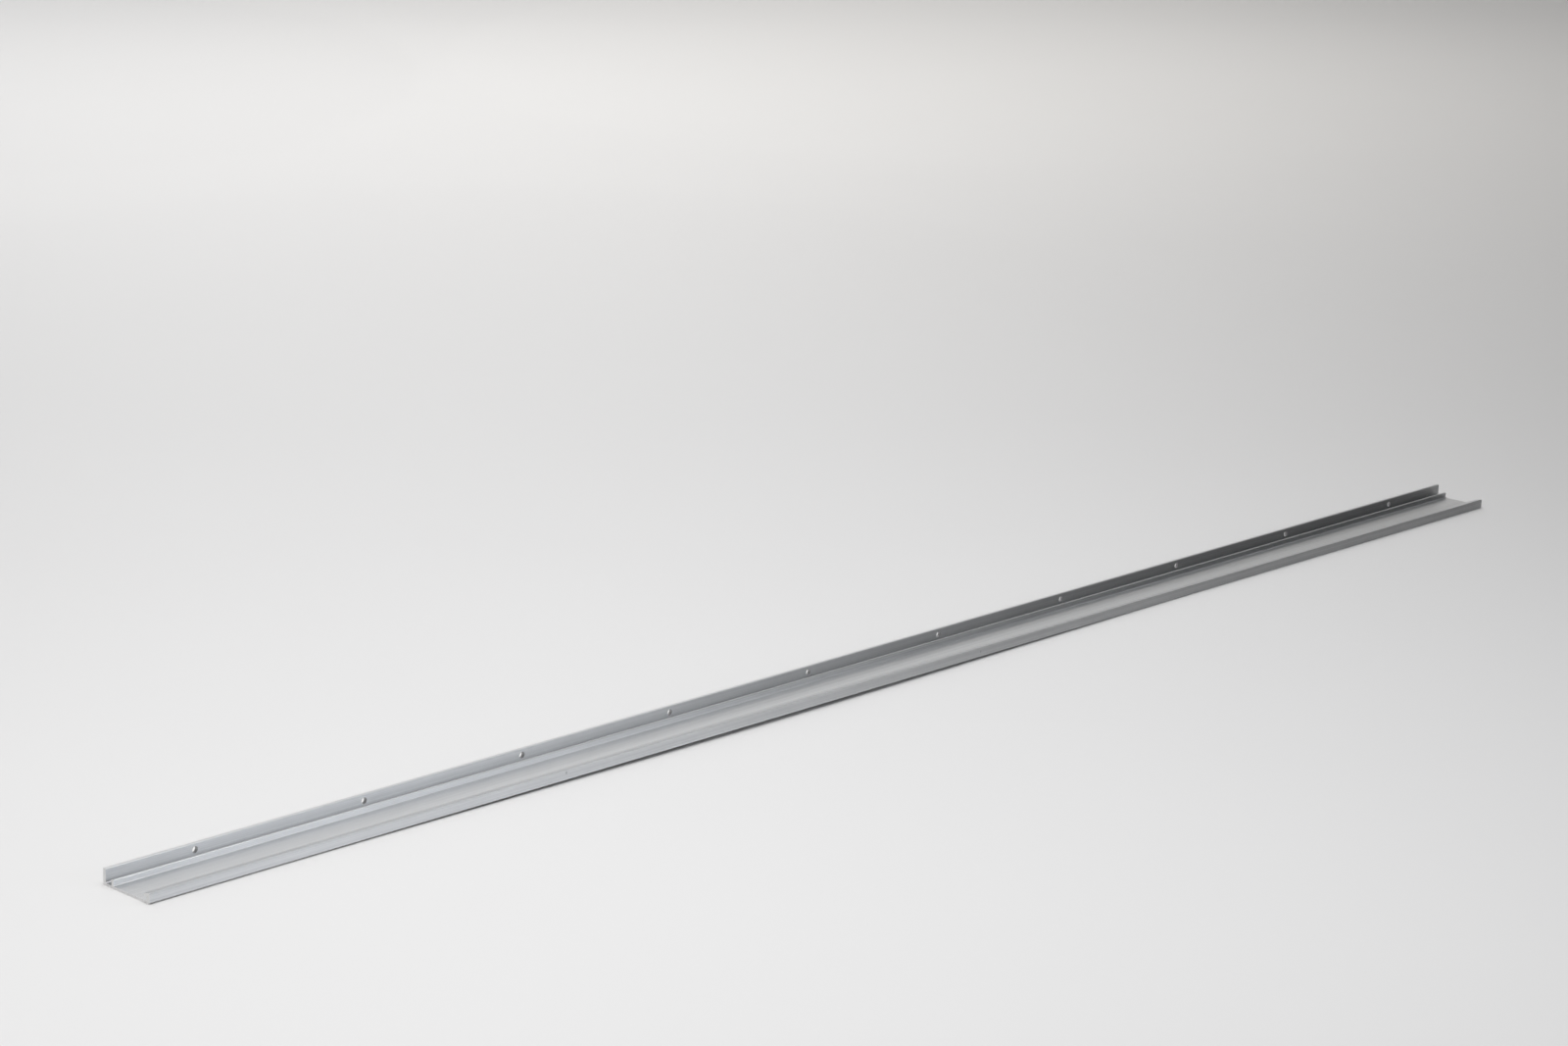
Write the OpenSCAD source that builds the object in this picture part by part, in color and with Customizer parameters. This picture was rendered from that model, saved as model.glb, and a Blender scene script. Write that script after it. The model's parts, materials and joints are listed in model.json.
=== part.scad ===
// Aluminium extrusion profile, cut square at both ends from straight stock.
// A flat web carries a tall drilled flange at the back, a short rib that forms a groove with it,
// and a hooked lip at the front. X runs along the bar, +Y points to the flange and +Z is up.
// The origin is at the middle of the underside.

/* [Bar] */
// Length of the cut bar
bar_l = 2000; // [400:50:6000]
// Overall width of the section, from the flange's back to the lip's front
section_w = 68; // [50:0.5:120]

/* [Web] */
// Thickness of the flat web
web_t = 2.4; // [1.5:0.1:3.5]

/* [Flange] */
// Height of the flange above the underside
flange_h = 16; // [14:0.5:40]
// Thickness of the flange
flange_t = 4; // [2.5:0.1:6]
// Radius of the flange's two top edges
flange_edge_r = 0.8; // [0.3:0.1:1.1]
// Radius of the flange's outer bottom edge
flange_heel_r = 0.3; // [0.2:0.1:2]
// Radius of the fillet between the flange and the floor of the groove
flange_fillet_r = 1.5; // [0.3:0.1:2]

/* [Rib] */
// Clear width of the groove between the flange and the rib
groove_w = 8; // [6:0.1:14]
// Height of the rib above the underside
rib_h = 8.3; // [7:0.1:12]
// Thickness of the rib
rib_t = 3.2; // [2:0.1:4]
// Radius of the rib's two top edges
rib_edge_r = 0.8; // [0.2:0.1:0.9]
// Radius of the fillets on both sides of the rib's foot
rib_fillet_r = 1; // [0.3:0.1:2]

/* [Lip] */
// Height of the lip's outer face above the underside
lip_h = 10.8; // [9.5:0.1:15]
// Thickness of the lip's upright wall
lip_t = 4.2; // [4:0.1:6]
// Radius of the lip's outer top edge
lip_top_r = 0.8; // [0.3:0.1:2]
// Radius of the lip's outer bottom edge
lip_bottom_r = 2; // [0.5:0.1:2.1]
// Radius of the fillets inside the lip
lip_fillet_r = 0.8; // [0.3:0.1:1.5]

/* [Hook] */
// How far the hook reaches inwards from the lip's wall
hook_reach = 4; // [2:0.1:6]
// Height of the hook's flat underside above the underside of the web
hook_h = 6.6; // [6:0.1:7.4]
// How far the lip's slanted top falls from its outer edge to the hook's tip
hook_fall = 1.7; // [0.5:0.1:2.2]
// Radius of the hook's two tip edges
hook_edge_r = 0.6; // [0.2:0.1:0.8]

/* [Holes] */
// Diameter of the screw holes
hole_d = 6.4; // [4:0.1:8]
// Height of the hole centres above the underside
hole_h = 9.7; // [8.5:0.1:10.5]
// Distance between neighbouring hole centres
hole_pitch = 200; // [50:5:400]

/* [Hidden] */

$fn = 64;
// How far the drill runs past both faces of the flange
overrun = 0.5;
// How far the disc that rounds a corner laps over the straight runs beside it
lap = 0.001;

// Planes across the section, from the front to the back
front_y = -section_w / 2;
lip_in_y = front_y + lip_t;
hook_y = lip_in_y + hook_reach;
back_y = section_w / 2;
flange_in_y = back_y - flange_t;
rib_back_y = flange_in_y - groove_w;
rib_front_y = rib_back_y - rib_t;

// As many holes as the bar's length takes, centred on the bar
hole_count = floor(bar_l / hole_pitch);
first_hole_x = -(hole_count - 1) * hole_pitch / 2;

// The section's corners, anticlockwise from the lip's outer bottom edge, each with its radius
corners = [
    [[front_y, 0], lip_bottom_r],
    [[back_y, 0], flange_heel_r],
    [[back_y, flange_h], flange_edge_r],
    [[flange_in_y, flange_h], flange_edge_r],
    [[flange_in_y, web_t], flange_fillet_r],
    [[rib_back_y, web_t], rib_fillet_r],
    [[rib_back_y, rib_h], rib_edge_r],
    [[rib_front_y, rib_h], rib_edge_r],
    [[rib_front_y, web_t], rib_fillet_r],
    [[lip_in_y, web_t], lip_fillet_r],
    [[lip_in_y, hook_h], lip_fillet_r],
    [[hook_y, hook_h], hook_edge_r],
    [[hook_y, lip_h - hook_fall], hook_edge_r],
    [[front_y, lip_h], lip_top_r],
];

function unit(v) = v / norm(v);
function turn(a, b) = a.x * b.y - a.y * b.x;
function corner(i) = corners[(i + len(corners)) % len(corners)][0];
function radius(i) = corners[i][1];
function to_last(i) = unit(corner(i - 1) - corner(i));
function to_next(i) = unit(corner(i + 1) - corner(i));
function half_angle(i) = acos(to_last(i) * to_next(i)) / 2;
function arc_run(i) = radius(i) / tan(half_angle(i));
function arc_centre(i) = corner(i) + unit(to_last(i) + to_next(i)) * radius(i) / sin(half_angle(i));
function is_outside(i) = turn(to_next(i), to_last(i)) > 0;

// The disc that rounds one corner of the section
module corner_disc(i) {
    translate(arc_centre(i)) circle(radius(i) + lap);
}

// The section as the die leaves it: straight runs between the points where the arcs begin and end,
// with a disc added at each outside corner and taken away at each inside corner
module section() {
    all = [0 : len(corners) - 1];
    difference() {
        union() {
            polygon([
                for (i = all)
                    each [corner(i) + to_last(i) * arc_run(i), corner(i) + to_next(i) * arc_run(i)]
            ]);
            for (i = all) if (is_outside(i)) corner_disc(i);
        }
        for (i = all) if (!is_outside(i)) corner_disc(i);
    }
}

// The row of screw holes, drilled square through the flange
module screw_holes() {
    for (i = [0 : hole_count - 1])
        translate([first_hole_x + i * hole_pitch, back_y + overrun, hole_h])
            rotate([90, 0, 0]) cylinder(h = flange_t + 2 * overrun, d = hole_d);
}

module profile() {
    color("silver") difference() {
        translate([-bar_l / 2, 0, 0]) rotate([90, 0, 90]) linear_extrude(height = bar_l) section();
        screw_holes();
    }
}

profile();
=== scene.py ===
"""Dresses the aluminium extrusion bar and shows it on a pale studio floor, seen as in the photograph."""

from __future__ import annotations

import json
import logging
import math
from dataclasses import dataclass
from enum import Enum
from typing import Any, Union

import bpy
from mathutils import Matrix, Vector


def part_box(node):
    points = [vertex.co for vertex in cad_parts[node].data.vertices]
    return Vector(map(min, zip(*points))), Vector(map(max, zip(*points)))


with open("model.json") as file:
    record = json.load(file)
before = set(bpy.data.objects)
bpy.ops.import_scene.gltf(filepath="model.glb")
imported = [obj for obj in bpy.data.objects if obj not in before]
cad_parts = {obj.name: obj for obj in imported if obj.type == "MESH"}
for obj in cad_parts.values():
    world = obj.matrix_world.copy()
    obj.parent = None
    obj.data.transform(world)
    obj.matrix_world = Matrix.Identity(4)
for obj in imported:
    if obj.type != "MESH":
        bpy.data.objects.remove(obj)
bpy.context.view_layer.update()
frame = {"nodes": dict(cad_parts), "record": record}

log = logging.getLogger("bar")

MM = 0.001
Colour = tuple[float, float, float]
Point = tuple[float, float, float]
WHITE = (1.0, 1.0, 1.0)
COOL = (0.95, 0.985, 1.04)
WARM = (1.03, 1.0, 0.95)
# How high the lights that face straight down hang, in metres
OVERHEAD_H = 3.0
# Middle of a noise or a height that runs from 0 to 1
MEAN = 0.5
# Sockets of the Mix node that stand for colours
MIX_SHARE, MIX_FIRST, MIX_SECOND, MIX_RESULT = 0, 6, 7, 2


class Op(Enum):
    """The Math node operations that the finishes are written with."""

    ADD = "ADD"
    SUBTRACT = "SUBTRACT"
    MULTIPLY = "MULTIPLY"
    DIVIDE = "DIVIDE"
    ABSOLUTE = "ABSOLUTE"
    FRACTION = "FRACT"
    ROOT = "SQRT"
    SINE = "SINE"
    BEARING = "ARCTAN2"
    MOST = "MAXIMUM"


class Value:
    """A shader socket that Python expressions can be written with."""

    def __init__(self, sheet: NodeSheet, socket: bpy.types.NodeSocket) -> None:
        """Keeps the sheet that new nodes go on and the socket that the value comes from."""
        self.sheet = sheet
        self.socket = socket

    def _math(self, op: Op, *terms: Term) -> Value:
        """Adds a Math node.

        Args:
            op: what the node works out.
            terms: its inputs, in order.

        Returns:
            The node's result.
        """
        return self.sheet.value("ShaderNodeMath", {"operation": op.value}, dict(enumerate(terms)))

    def __add__(self, other: Term) -> Value:
        """Adds."""
        return self._math(Op.ADD, self, other)

    __radd__ = __add__

    def __sub__(self, other: Term) -> Value:
        """Subtracts."""
        return self._math(Op.SUBTRACT, self, other)

    def __rsub__(self, other: Term) -> Value:
        """Subtracts from a number."""
        return self._math(Op.SUBTRACT, other, self)

    def __mul__(self, other: Term) -> Value:
        """Multiplies."""
        return self._math(Op.MULTIPLY, self, other)

    __rmul__ = __mul__

    def __truediv__(self, other: Term) -> Value:
        """Divides."""
        return self._math(Op.DIVIDE, self, other)

    def __abs__(self) -> Value:
        """Drops the sign."""
        return self._math(Op.ABSOLUTE, self)

    def from_whole(self) -> Value:
        """Takes how far the value is past the nearest whole number, from -0.5 to 0.5."""
        return self._math(Op.FRACTION, self + 0.5) - 0.5

    def root(self) -> Value:
        """Takes the square root."""
        return self._math(Op.ROOT, self)

    def sine(self) -> Value:
        """Takes the sine, in radians."""
        return self._math(Op.SINE, self)

    def bearing(self, other: Term) -> Value:
        """Takes the angle whose two sides are this value and the other, in radians."""
        return self._math(Op.BEARING, self, other)

    def most(self, other: Term) -> Value:
        """Takes the larger of two values."""
        return self._math(Op.MOST, self, other)

    def step(self, low: float, high: float) -> Value:
        """Rises smoothly from 0 at one value to 1 at another.

        Args:
            low: where the rise starts, and above high for a fall.
            high: where it ends.

        Returns:
            The mask.
        """
        return self.sheet.value(
            "ShaderNodeMapRange",
            {"interpolation_type": "SMOOTHSTEP"},
            {"Value": self, "From Min": low, "From Max": high},
        )


Term = Union[Value, float, Colour]


@dataclass(frozen=True)
class Grain:
    """Noise that is stretched differently along each axis.

    It has so many grains on a metre along X, Y and Z, and so many finer layers.
    """

    per_metre: Point
    layers: float


class NodeSheet:
    """One node tree, to which nodes are added by type, settings and inputs."""

    def __init__(self, tree: bpy.types.NodeTree) -> None:
        """Empties the tree."""
        tree.nodes.clear()
        self.tree = tree

    def node(
        self, kind: str, settings: dict[str, Any] | None = None, inputs: dict[Any, Term] | None = None
    ) -> bpy.types.Node:
        """Adds a node.

        Args:
            kind: the node's type.
            settings: its properties, set first; stops gives a ramp's places and colours.
            inputs: values or links by socket name or number.

        Returns:
            The new node.
        """
        node = self.tree.nodes.new(kind)
        for name, setting in (settings or {}).items():
            if name == "stops":
                self._set_stops(node.color_ramp, setting)
            else:
                setattr(node, name, setting)
        for key, term in (inputs or {}).items():
            if isinstance(term, Value):
                self.tree.links.new(term.socket, node.inputs[key])
            else:
                node.inputs[key].default_value = term
        return node

    def value(
        self,
        kind: str,
        settings: dict[str, Any] | None = None,
        inputs: dict[Any, Term] | None = None,
        output: int | str = 0,
    ) -> Value:
        """Adds a node and takes one of its outputs.

        Args:
            kind: the node's type.
            settings: its properties.
            inputs: values or links by socket name or number.
            output: the output's name or number.

        Returns:
            That output.
        """
        return Value(self, self.node(kind, settings, inputs).outputs[output])

    @staticmethod
    def _set_stops(ramp: bpy.types.ColorRamp, stops: list[tuple[float, Colour]]) -> None:
        """Gives a ramp its stops.

        Args:
            ramp: the ramp to fill.
            stops: places from 0 to 1 with their colours, two or more.
        """
        while len(ramp.elements) < len(stops):
            ramp.elements.new(1.0)
        for element, (place, colour) in zip(ramp.elements, stops):
            element.position = place
            element.color = (*colour, 1.0)

    def place(self) -> Value:
        """The shaded point in the piece's own frame, in metres."""
        return self.value("ShaderNodeTexCoord", output="Object")

    def axes(self, vector: Value) -> tuple[Value, Value, Value]:
        """Splits a vector into its three numbers."""
        node = self.node("ShaderNodeSeparateXYZ", inputs={0: vector})
        return Value(self, node.outputs[0]), Value(self, node.outputs[1]), Value(self, node.outputs[2])

    def noise(self, place: Value, grain: Grain) -> Value:
        """Samples noise.

        Args:
            place: the shaded point.
            grain: how fine the noise is.

        Returns:
            Noise around MEAN.
        """
        stretched = self.value("ShaderNodeMapping", inputs={"Vector": place, "Scale": grain.per_metre})
        return self.value(
            "ShaderNodeTexNoise", inputs={"Vector": stretched, "Scale": 1.0, "Detail": grain.layers}
        )

    def blend(self, share: Value, first: Term, second: Term) -> Value:
        """Goes from one colour to another.

        Args:
            share: how much of the second colour shows.
            first: colour at 0.
            second: colour at 1.

        Returns:
            The mixed colour.
        """
        colours = [(*c, 1.0) if isinstance(c, tuple) else c for c in (first, second)]
        return self.value(
            "ShaderNodeMix",
            {"data_type": "RGBA"},
            {MIX_SHARE: share, MIX_FIRST: colours[0], MIX_SECOND: colours[1]},
            output=MIX_RESULT,
        )

    def relief(self, height: Value, depth: float) -> Value:
        """Turns a height into a bumped normal.

        Args:
            height: the height, from 0 to 1.
            depth: what 1 stands for, in metres.

        Returns:
            The normal.
        """
        return self.value("ShaderNodeBump", inputs={"Strength": 1.0, "Distance": depth, "Height": height})

    def shader(self, **inputs: Term) -> Value:
        """Adds a surface shader.

        Args:
            inputs: the shader's sockets, with _ for each space.

        Returns:
            The shader.
        """
        named = {name.replace("_", " "): term for name, term in inputs.items()}
        return self.value("ShaderNodeBsdfPrincipled", inputs=named)

    def end(self, shader: Value) -> None:
        """Ends the sheet with a material's surface."""
        self.node("ShaderNodeOutputMaterial", inputs={"Surface": shader})


@dataclass(frozen=True)
class Mark:
    """A small knock on the front of the lip."""

    x: float
    z: float
    half_w: float
    half_h: float


@dataclass(frozen=True)
class AnodisedFinish:
    """Satin natural anodising over die lines, with bare metal where the bar was sawn, and a dark colour
    on the hole walls that paints their shade.
    """

    name: str = "satin_anodised_aluminium"
    skin: Colour = (0.74, 0.745, 0.75)
    skin_dull: Colour = (0.66, 0.667, 0.675)
    bare: Colour = (0.78, 0.78, 0.78)
    # painted shade: the hole walls' dark colour stands in for the shade inside the holes
    bore_painted_shade: Colour = (0.38, 0.38, 0.385)
    mark: Colour = (0.40, 0.40, 0.41)
    mark_share: float = 0.6
    mark_core: float = 0.2
    mark_depth: float = 1.0 * MM
    marks: tuple[Mark, ...] = ()

    roughness: float = 0.33
    sawn_roughness: float = 0.46
    drawn_roughness: float = 0.50
    drawn_stretch: float = 1.0
    drawn_turn: float = 0.25
    upright_from: float = 0.55
    upright_to: float = 0.85

    streak_grain: Grain = Grain((1.3, 700.0, 700.0), 3.0)
    streak_from: float = 0.3
    streak_to: float = 0.7
    line_grain: Grain = Grain((5.0, 2600.0, 2600.0), 2.0)
    smudge_grain: Grain = Grain((9.0, 30.0, 30.0), 4.0)
    streak_sway: float = 0.05
    smudge_sway: float = 0.06
    streak_relief: float = 0.05
    line_relief: float = 0.55
    line_depth: float = 0.05 * MM

    sawn_depth: float = 0.02 * MM
    saw_pitch: float = 0.7 * MM
    saw_centre: tuple[float, float] = (0.06, 0.19)
    saw_shift: float = 0.01
    saw_relief: float = 0.3
    bore_margin: float = 0.08 * MM
    bore_fade: float = 0.04 * MM
    bore_reach: float = 8.0 * MM
    bore_reach_fade: float = 1.0 * MM
    drill_pitch: float = 0.3 * MM
    drill_relief: float = 0.1

    def material(self, bar: ExtrusionBar) -> bpy.types.Material:
        """Builds the material for a bar.

        Args:
            bar: the bar, for the places of its ends and holes.

        Returns:
            The material.
        """
        made = bpy.data.materials.new(self.name)
        made.use_nodes = True
        sheet = NodeSheet(made.node_tree)
        place = sheet.place()
        x, y, z = sheet.axes(place)

        streaks = sheet.noise(place, self.streak_grain)
        lines = sheet.noise(place, self.line_grain)
        smudges = sheet.noise(place, self.smudge_grain)
        sawn = abs(x).step(bar.half_l - self.sawn_depth, bar.half_l - self.sawn_depth / 2)
        # hole walls: bare metal cut by the drill for roughness and drill rings, and painted shade in
        # colour
        drilled_and_shaded = self._drilled_and_shaded_walls(bar, x, y, z)
        cut = sawn.most(drilled_and_shaded)

        colour = sheet.blend(streaks.step(self.streak_from, self.streak_to), self.skin, self.skin_dull)
        for mark in self.marks:
            colour = sheet.blend(self._marked(bar, mark, x, y, z) * self.mark_share, colour, self.mark)
        colour = sheet.blend(sawn, colour, self.bare)
        # painted shade: the hole walls are darkened in colour, as shade inside the holes
        colour = sheet.blend(drilled_and_shaded, colour, self.bore_painted_shade)

        sway = (streaks - MEAN) * self.streak_sway + (smudges - MEAN) * self.smudge_sway
        skin_relief = streaks * self.streak_relief + lines * self.line_relief
        cut_relief = self._saw_marks(x, y, z) * sawn + self._drill_rings(y) * drilled_and_shaded
        relief = sheet.relief(skin_relief * (1.0 - cut) + cut_relief, self.line_depth)
        matt = sway + self.roughness + cut * (self.sawn_roughness - self.roughness)
        flat = sheet.shader(Base_Color=colour, Metallic=1.0, Roughness=matt, Normal=relief)
        upright = sheet.shader(
            Base_Color=colour,
            Metallic=1.0,
            Roughness=sway + self.drawn_roughness,
            Anisotropic=self.drawn_stretch,
            Anisotropic_Rotation=self.drawn_turn,
            Normal=relief,
        )
        _, facing, _ = sheet.axes(sheet.value("ShaderNodeTexCoord", output="Normal"))
        share = abs(facing).step(self.upright_from, self.upright_to)
        sheet.end(sheet.value("ShaderNodeMixShader", inputs={0: share, 1: flat, 2: upright}))
        return made

    def _drilled_and_shaded_walls(self, bar: ExtrusionBar, x: Value, y: Value, z: Value) -> Value:
        """Marks the walls of the screw holes, whose dark colour paints the shade inside them.

        Args:
            bar: the bar that the holes are in.
            x: place along the bar.
            y: place across it.
            z: height.

        Returns:
            1 on a hole's wall and 0 elsewhere.
        """
        dx = ((x - bar.first_hole_x) / bar.hole_pitch).from_whole() * bar.hole_pitch
        dz = z - bar.hole_z
        from_axis = (dx * dx + dz * dz).root()
        rim = bar.hole_r + self.bore_margin
        behind = bar.hole_y - self.bore_reach
        return from_axis.step(rim + self.bore_fade, rim) * y.step(behind, behind + self.bore_reach_fade)

    def _marked(self, bar: ExtrusionBar, mark: Mark, x: Value, y: Value, z: Value) -> Value:
        """Marks one knock on the lip's front.

        Args:
            bar: the bar that carries the mark.
            mark: its place and size.
            x: place along the bar.
            y: place across it.
            z: height.

        Returns:
            1 in the middle of the knock and 0 around it.
        """
        dx = (x - mark.x) / mark.half_w
        dz = (z - mark.z) / mark.half_h
        skin = y.step(bar.front_y + self.mark_depth, bar.front_y + self.mark_depth / 2)
        return (dx * dx + dz * dz).step(1.0, self.mark_core) * skin

    def _saw_marks(self, x: Value, y: Value, z: Value) -> Value:
        """Draws the arcs that a saw blade leaves on an end.

        Args:
            x: place along the bar, which shifts the arcs from end to end.
            y: place across the bar.
            z: height.

        Returns:
            A height from 0 to 1.
        """
        dy = y - self.saw_centre[0] + x * self.saw_shift
        dz = z - self.saw_centre[1]
        from_hub = (dy * dy + dz * dz).root()
        return (from_hub * (math.tau / self.saw_pitch)).sine() * self.saw_relief + MEAN

    def _drill_rings(self, y: Value) -> Value:
        """Draws the rings that a drill leaves in a hole, as a height from 0 to 1."""
        return (y * (math.tau / self.drill_pitch)).sine() * self.drill_relief + MEAN


@dataclass(frozen=True)
class FloorFinish:
    """Matt white studio floor with faint unevenness."""

    name: str = "white_studio_floor"
    pale: Colour = (0.765, 0.76, 0.757)
    shade: Colour = (0.745, 0.74, 0.737)
    cloud_grain: Grain = Grain((1.2, 1.2, 1.2), 4.0)
    roughness: float = 0.7

    def material(self) -> bpy.types.Material:
        """Builds the material.

        Returns:
            The material.
        """
        made = bpy.data.materials.new(self.name)
        made.use_nodes = True
        sheet = NodeSheet(made.node_tree)
        clouds = sheet.noise(sheet.place(), self.cloud_grain)
        colour = sheet.blend(clouds, self.pale, self.shade)
        sheet.end(sheet.shader(Base_Color=colour, Roughness=self.roughness))
        return made


@dataclass
class ExtrusionBar:
    """The extruded bar: one piece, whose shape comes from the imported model."""

    node: str
    half_l: float
    front_y: float
    hole_y: float
    hole_z: float
    hole_r: float
    hole_pitch: float
    first_hole_x: float

    @classmethod
    def from_frame(cls, node: str) -> ExtrusionBar:
        """Reads the bar's sizes from its box and from the record's screw holes.

        Args:
            node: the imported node's name.

        Returns:
            The bar.
        """
        low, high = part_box(node)
        pairs = [m for m in frame["record"]["mounts"] if m["kind"] == "bolt_pattern"]
        spans = sorted(m["dims"]["spacing_x_mm"] * MM for m in pairs)
        _, hole_y, hole_z = pairs[0]["pos_m"]
        return cls(
            node=node,
            half_l=high.x,
            front_y=low.y,
            hole_y=hole_y,
            hole_z=hole_z,
            hole_r=pairs[0]["dims"]["hole_r_mm"] * MM,
            hole_pitch=spans[0],
            first_hole_x=-spans[-1] / 2,
        )

    def dress(self, finish: AnodisedFinish) -> bpy.types.Object:
        """Gives the bar its finish.

        Args:
            finish: the finish of all its surfaces.

        Returns:
            The bar's object.
        """
        bar = frame["nodes"][self.node]
        bar.material_slots[0].material = finish.material(self)
        return bar


@dataclass
class StudioFloor:
    """A wide pale floor that dips a little under part of the bar.

    Its rim rises to close off the view.
    """

    patch_l: float = 3.0
    patch_w: float = 2.0
    cell: float = 0.05
    dip_x: float = -0.20
    dip_r: float = 0.70
    dip_depth: float = 3.6 * MM
    flat_l: float = 32.0
    rim_l: float = 60.0
    rim_h: float = 6.0
    smooth_angle: float = 10.0

    def build(self, finish: FloorFinish) -> bpy.types.Object:
        """Models the floor.

        Args:
            finish: the floor's finish.

        Returns:
            The floor's object.
        """
        bpy.ops.object.select_all(action="DESELECT")
        bpy.ops.mesh.primitive_grid_add(
            x_subdivisions=round(self.patch_l / self.cell),
            y_subdivisions=round(self.patch_w / self.cell),
            size=1.0,
        )
        floor = bpy.context.object
        floor.name = "studio_floor"
        bpy.ops.object.mode_set(mode="EDIT")
        self._widen(self.patch_l, self.patch_w)
        self._dip(floor)
        bpy.ops.mesh.select_all(action="SELECT")
        bpy.ops.mesh.region_to_loop()
        bpy.ops.mesh.extrude_edges_indiv()
        self._widen(self.flat_l / self.patch_l, self.flat_l / self.patch_w)
        bpy.ops.mesh.extrude_edges_indiv()
        self._widen(self.rim_l / self.flat_l, self.rim_l / self.flat_l)
        bpy.ops.transform.translate(value=(0.0, 0.0, self.rim_h))
        bpy.ops.object.mode_set(mode="OBJECT")
        bpy.ops.object.shade_smooth_by_angle(angle=math.radians(self.smooth_angle))
        floor.data.materials.append(finish.material())
        return floor

    @staticmethod
    def _widen(x: float, y: float) -> None:
        """Scales what is selected about the middle of the bar."""
        bpy.ops.transform.resize(value=(x, y, 1.0), center_override=(0.0, 0.0, 0.0))

    def _dip(self, floor: bpy.types.Object) -> None:
        """Lowers the patch around one point, with a smooth fall-off.

        Args:
            floor: the floor, in edit mode.
        """
        bpy.ops.mesh.select_all(action="DESELECT")
        bpy.ops.object.mode_set(mode="OBJECT")
        middle = Vector((self.dip_x, 0.0, 0.0))
        min(floor.data.vertices, key=lambda vertex: (vertex.co - middle).length).select = True
        bpy.ops.object.mode_set(mode="EDIT")
        bpy.ops.transform.translate(
            value=(0.0, 0.0, -self.dip_depth),
            use_proportional_edit=True,
            proportional_edit_falloff="SMOOTH",
            proportional_size=self.dip_r,
        )


@dataclass(frozen=True)
class Softbox:
    """A large soft light that faces a point, with its beam's spread in degrees."""

    name: str
    centre: Point
    aim: Point
    width: float
    height: float
    radiance: float
    spread: float
    colour: Colour = WHITE

    @classmethod
    def overhead(
        cls,
        name: str,
        x: float,
        y: float,
        side: float,
        radiance: float,
        spread: float,
        colour: Colour = WHITE,
    ) -> Softbox:
        """Makes a square light that faces straight down.

        Args:
            name: the light's name.
            x: its place along the bar.
            y: its place across the bar.
            side: its width and height.
            radiance: how bright it is.
            spread: how wide its beam is, in degrees.
            colour: its tint.

        Returns:
            The light.
        """
        return cls(name, (x, y, OVERHEAD_H), (x, y, 0.0), side, side, radiance, spread, colour)

    def build(self) -> bpy.types.Object:
        """Hangs the light, hidden from the camera itself.

        Returns:
            The light's object.
        """
        lamp = bpy.data.lights.new(self.name, "AREA")
        lamp.shape = "RECTANGLE"
        lamp.size, lamp.size_y = self.width, self.height
        lamp.energy = math.pi * self.width * self.height * self.radiance
        lamp.color = self.colour
        lamp.spread = math.radians(self.spread)
        hung = bpy.data.objects.new(self.name, lamp)
        hung.location = self.centre
        hung.rotation_euler = (Vector(self.aim) - Vector(self.centre)).to_track_quat("-Z", "Y").to_euler()
        hung.visible_camera = False
        bpy.context.scene.collection.objects.link(hung)
        return hung


@dataclass(frozen=True)
class WallGlow:
    """How bright the room's wall is in one direction."""

    bearing: float
    level: float
    tint: Colour = WHITE

    @property
    def turn(self) -> float:
        """The bearing as a share of a full turn, from 0 to 1."""
        return math.radians(self.bearing) / math.tau + 0.5

    @property
    def colour(self) -> Colour:
        """The glow's colour."""
        return tuple(self.level * share for share in self.tint)


@dataclass(frozen=True)
class StudioRoom:
    """The room that the bar mirrors: walls that are lit unevenly, under a pale ceiling.

    Bearings are in degrees from the bar's +X towards its +Y, from -180 to 180.
    """

    walls: tuple[WallGlow, ...]
    wall_top: float = 0.55
    ceiling: float = 0.85
    ceiling_level: float = 0.40

    def build(self) -> bpy.types.World:
        """Lights the room.

        Returns:
            The world.
        """
        world = bpy.data.worlds.new("studio_room")
        world.use_nodes = True
        sheet = NodeSheet(world.node_tree)
        x, y, z = sheet.axes(sheet.value("ShaderNodeTexCoord", output="Generated"))
        turn = y.bearing(x) / math.tau + 0.5
        stops = [(wall.turn, wall.colour) for wall in self.walls]
        glow = sheet.value("ShaderNodeValToRGB", {"stops": stops}, {0: turn})
        lit = sheet.blend(z.step(self.wall_top, self.ceiling), glow, (self.ceiling_level,) * 3)
        light = sheet.value("ShaderNodeBackground", inputs={"Color": lit})
        sheet.node("ShaderNodeOutputWorld", inputs={"Surface": light})
        bpy.context.scene.world = world
        return world


@dataclass(frozen=True)
class StudioCamera:
    """The camera, at the photograph's place and angle."""

    place: Point = (-3.1436, -2.8907, 1.3640)
    yaw: float = 0.79911
    pitch: float = 0.27581
    roll: float = 0.02476
    focal_px: float = 4343.6
    image_px: float = 1600.0
    sensor_mm: float = 36.0

    def build(self) -> bpy.types.Object:
        """Sets up the camera as the scene's own.

        Returns:
            The camera's object.
        """
        data = bpy.data.cameras.new("studio_camera")
        data.sensor_width = self.sensor_mm
        data.lens = self.focal_px / self.image_px * self.sensor_mm
        camera = bpy.data.objects.new("studio_camera", data)
        camera.matrix_world = (
            Matrix.Translation(self.place)
            @ Matrix.Rotation(-self.yaw, 4, "Z")
            @ Matrix.Rotation(math.pi / 2 - self.pitch, 4, "X")
            @ Matrix.Rotation(self.roll, 4, "Z")
        )
        scene = bpy.context.scene
        scene.collection.objects.link(camera)
        scene.camera = camera
        scene.view_settings.view_transform = "Standard"
        return camera


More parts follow.
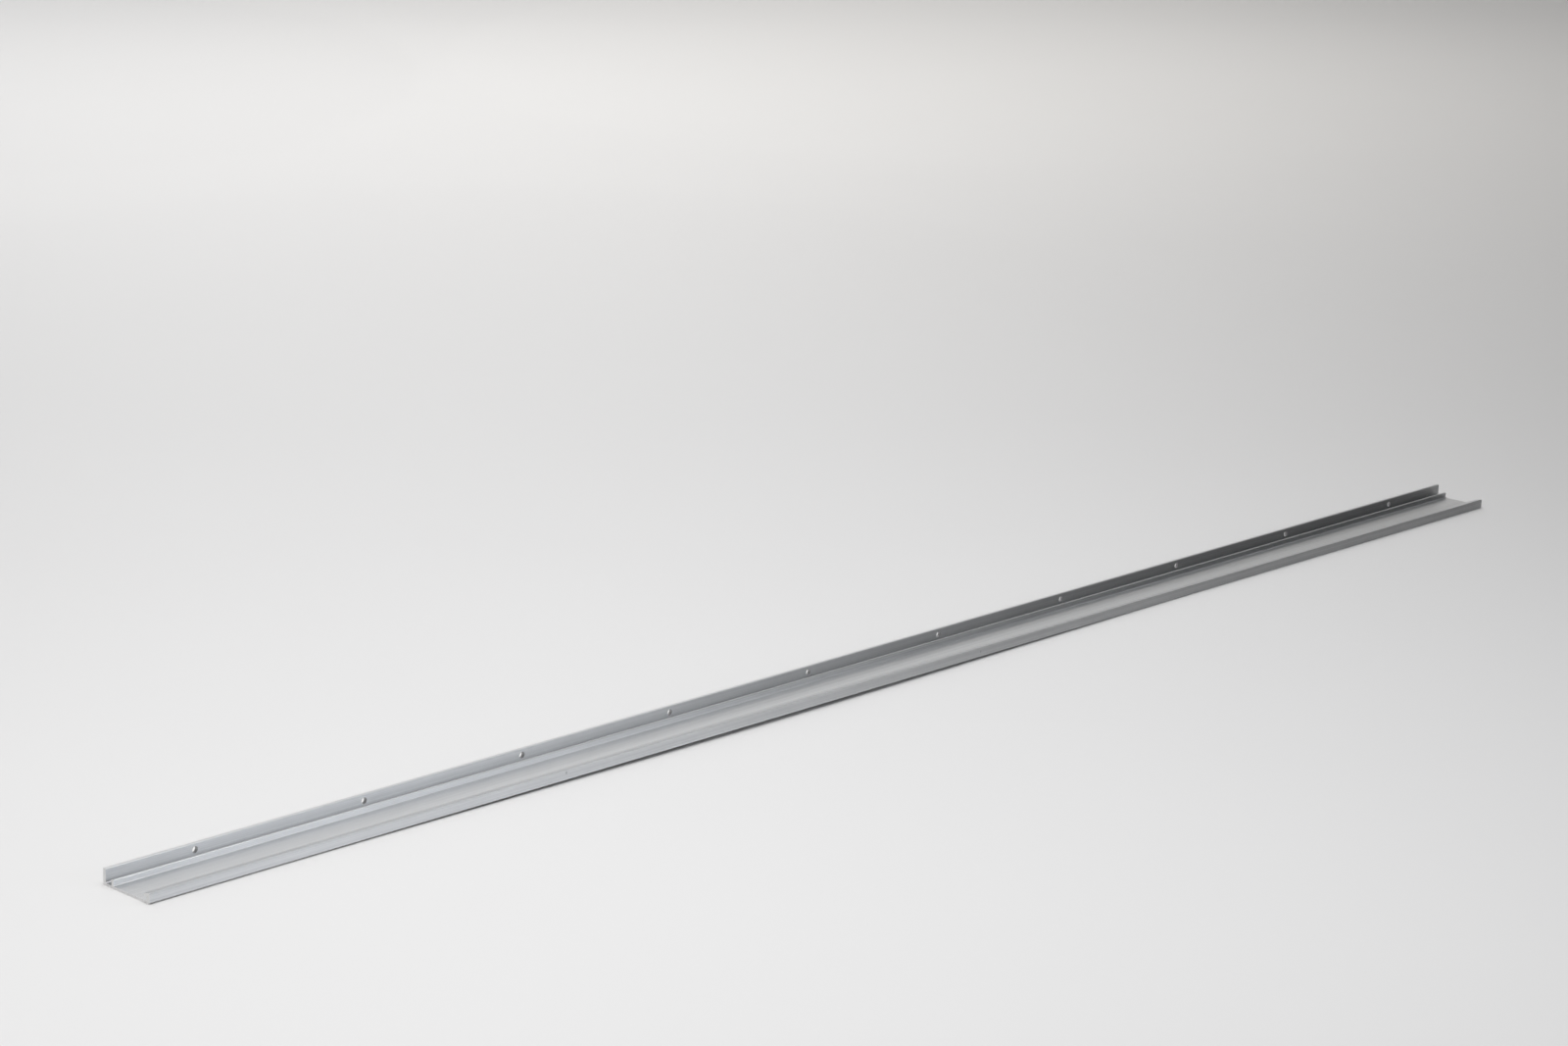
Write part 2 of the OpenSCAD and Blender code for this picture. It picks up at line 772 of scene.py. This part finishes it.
LIGHTS = (
    Softbox.overhead("overhead_left", x=-1.2, y=-0.3, side=2.2, radiance=1.90, spread=110.0),
    Softbox.overhead("overhead_near", x=0.7, y=1.4, side=2.0, radiance=0.70, spread=90.0),
    Softbox.overhead("overhead_back", x=1.2, y=3.7, side=2.4, radiance=1.30, spread=100.0),
    Softbox.overhead("overhead_far", x=2.9, y=2.5, side=2.0, radiance=0.95, spread=90.0, colour=WARM),
    Softbox(
        "roof_softbox",
        centre=(1.1, -1.0, 2.3),
        aim=(-1.2, 0.3, 0.0),
        width=1.3,
        height=1.6,
        radiance=0.35,
        spread=90.0,
        colour=COOL,
    ),
    Softbox(
        "front_low",
        centre=(2.1, -2.4, 0.85),
        aim=(-0.2, 0.0, 0.4),
        width=1.0,
        height=0.7,
        radiance=0.14,
        spread=60.0,
    ),
    Softbox(
        "front_tall",
        centre=(1.7, -3.4, 1.5),
        aim=(-0.6, 0.0, 0.5),
        width=1.4,
        height=1.8,
        radiance=0.60,
        spread=80.0,
        colour=COOL,
    ),
)
WALLS = (
    WallGlow(-180.0, 0.15),
    WallGlow(-110.0, 0.05),
    WallGlow(-75.0, 0.0),
    WallGlow(-20.0, 0.0),
    WallGlow(10.0, 0.10, WARM),
    WallGlow(30.0, 0.33, WARM),
    WallGlow(45.0, 0.87),
    WallGlow(60.0, 0.76),
    WallGlow(80.0, 0.45, COOL),
    WallGlow(110.0, 0.30),
    WallGlow(130.0, 0.50),
    WallGlow(180.0, 0.15),
)
LIP_MARKS = (
    Mark(x=-0.50, z=8.0 * MM, half_w=1.8 * MM, half_h=1.8 * MM),
    Mark(x=0.097, z=6.4 * MM, half_w=0.8 * MM, half_h=2.2 * MM),
)


def main() -> None:
    """Builds the camera, the bar's finish, the floor and the lights, in that order."""
    logging.basicConfig(level=logging.INFO, format="%(name)s: %(message)s")
    camera = StudioCamera().build()
    log.info("camera %s, lens %.1f mm", camera.name, camera.data.lens)
    bar = ExtrusionBar.from_frame("profile")
    dressed = bar.dress(AnodisedFinish(marks=LIP_MARKS))
    log.info("bar %s, %d faces", dressed.name, len(dressed.data.polygons))
    floor = StudioFloor().build(FloorFinish())
    log.info("floor %s", floor.name)
    StudioRoom(WALLS).build()
    for light in LIGHTS:
        log.info("light %s", light.build().name)


if __name__ == "__main__":
    main()
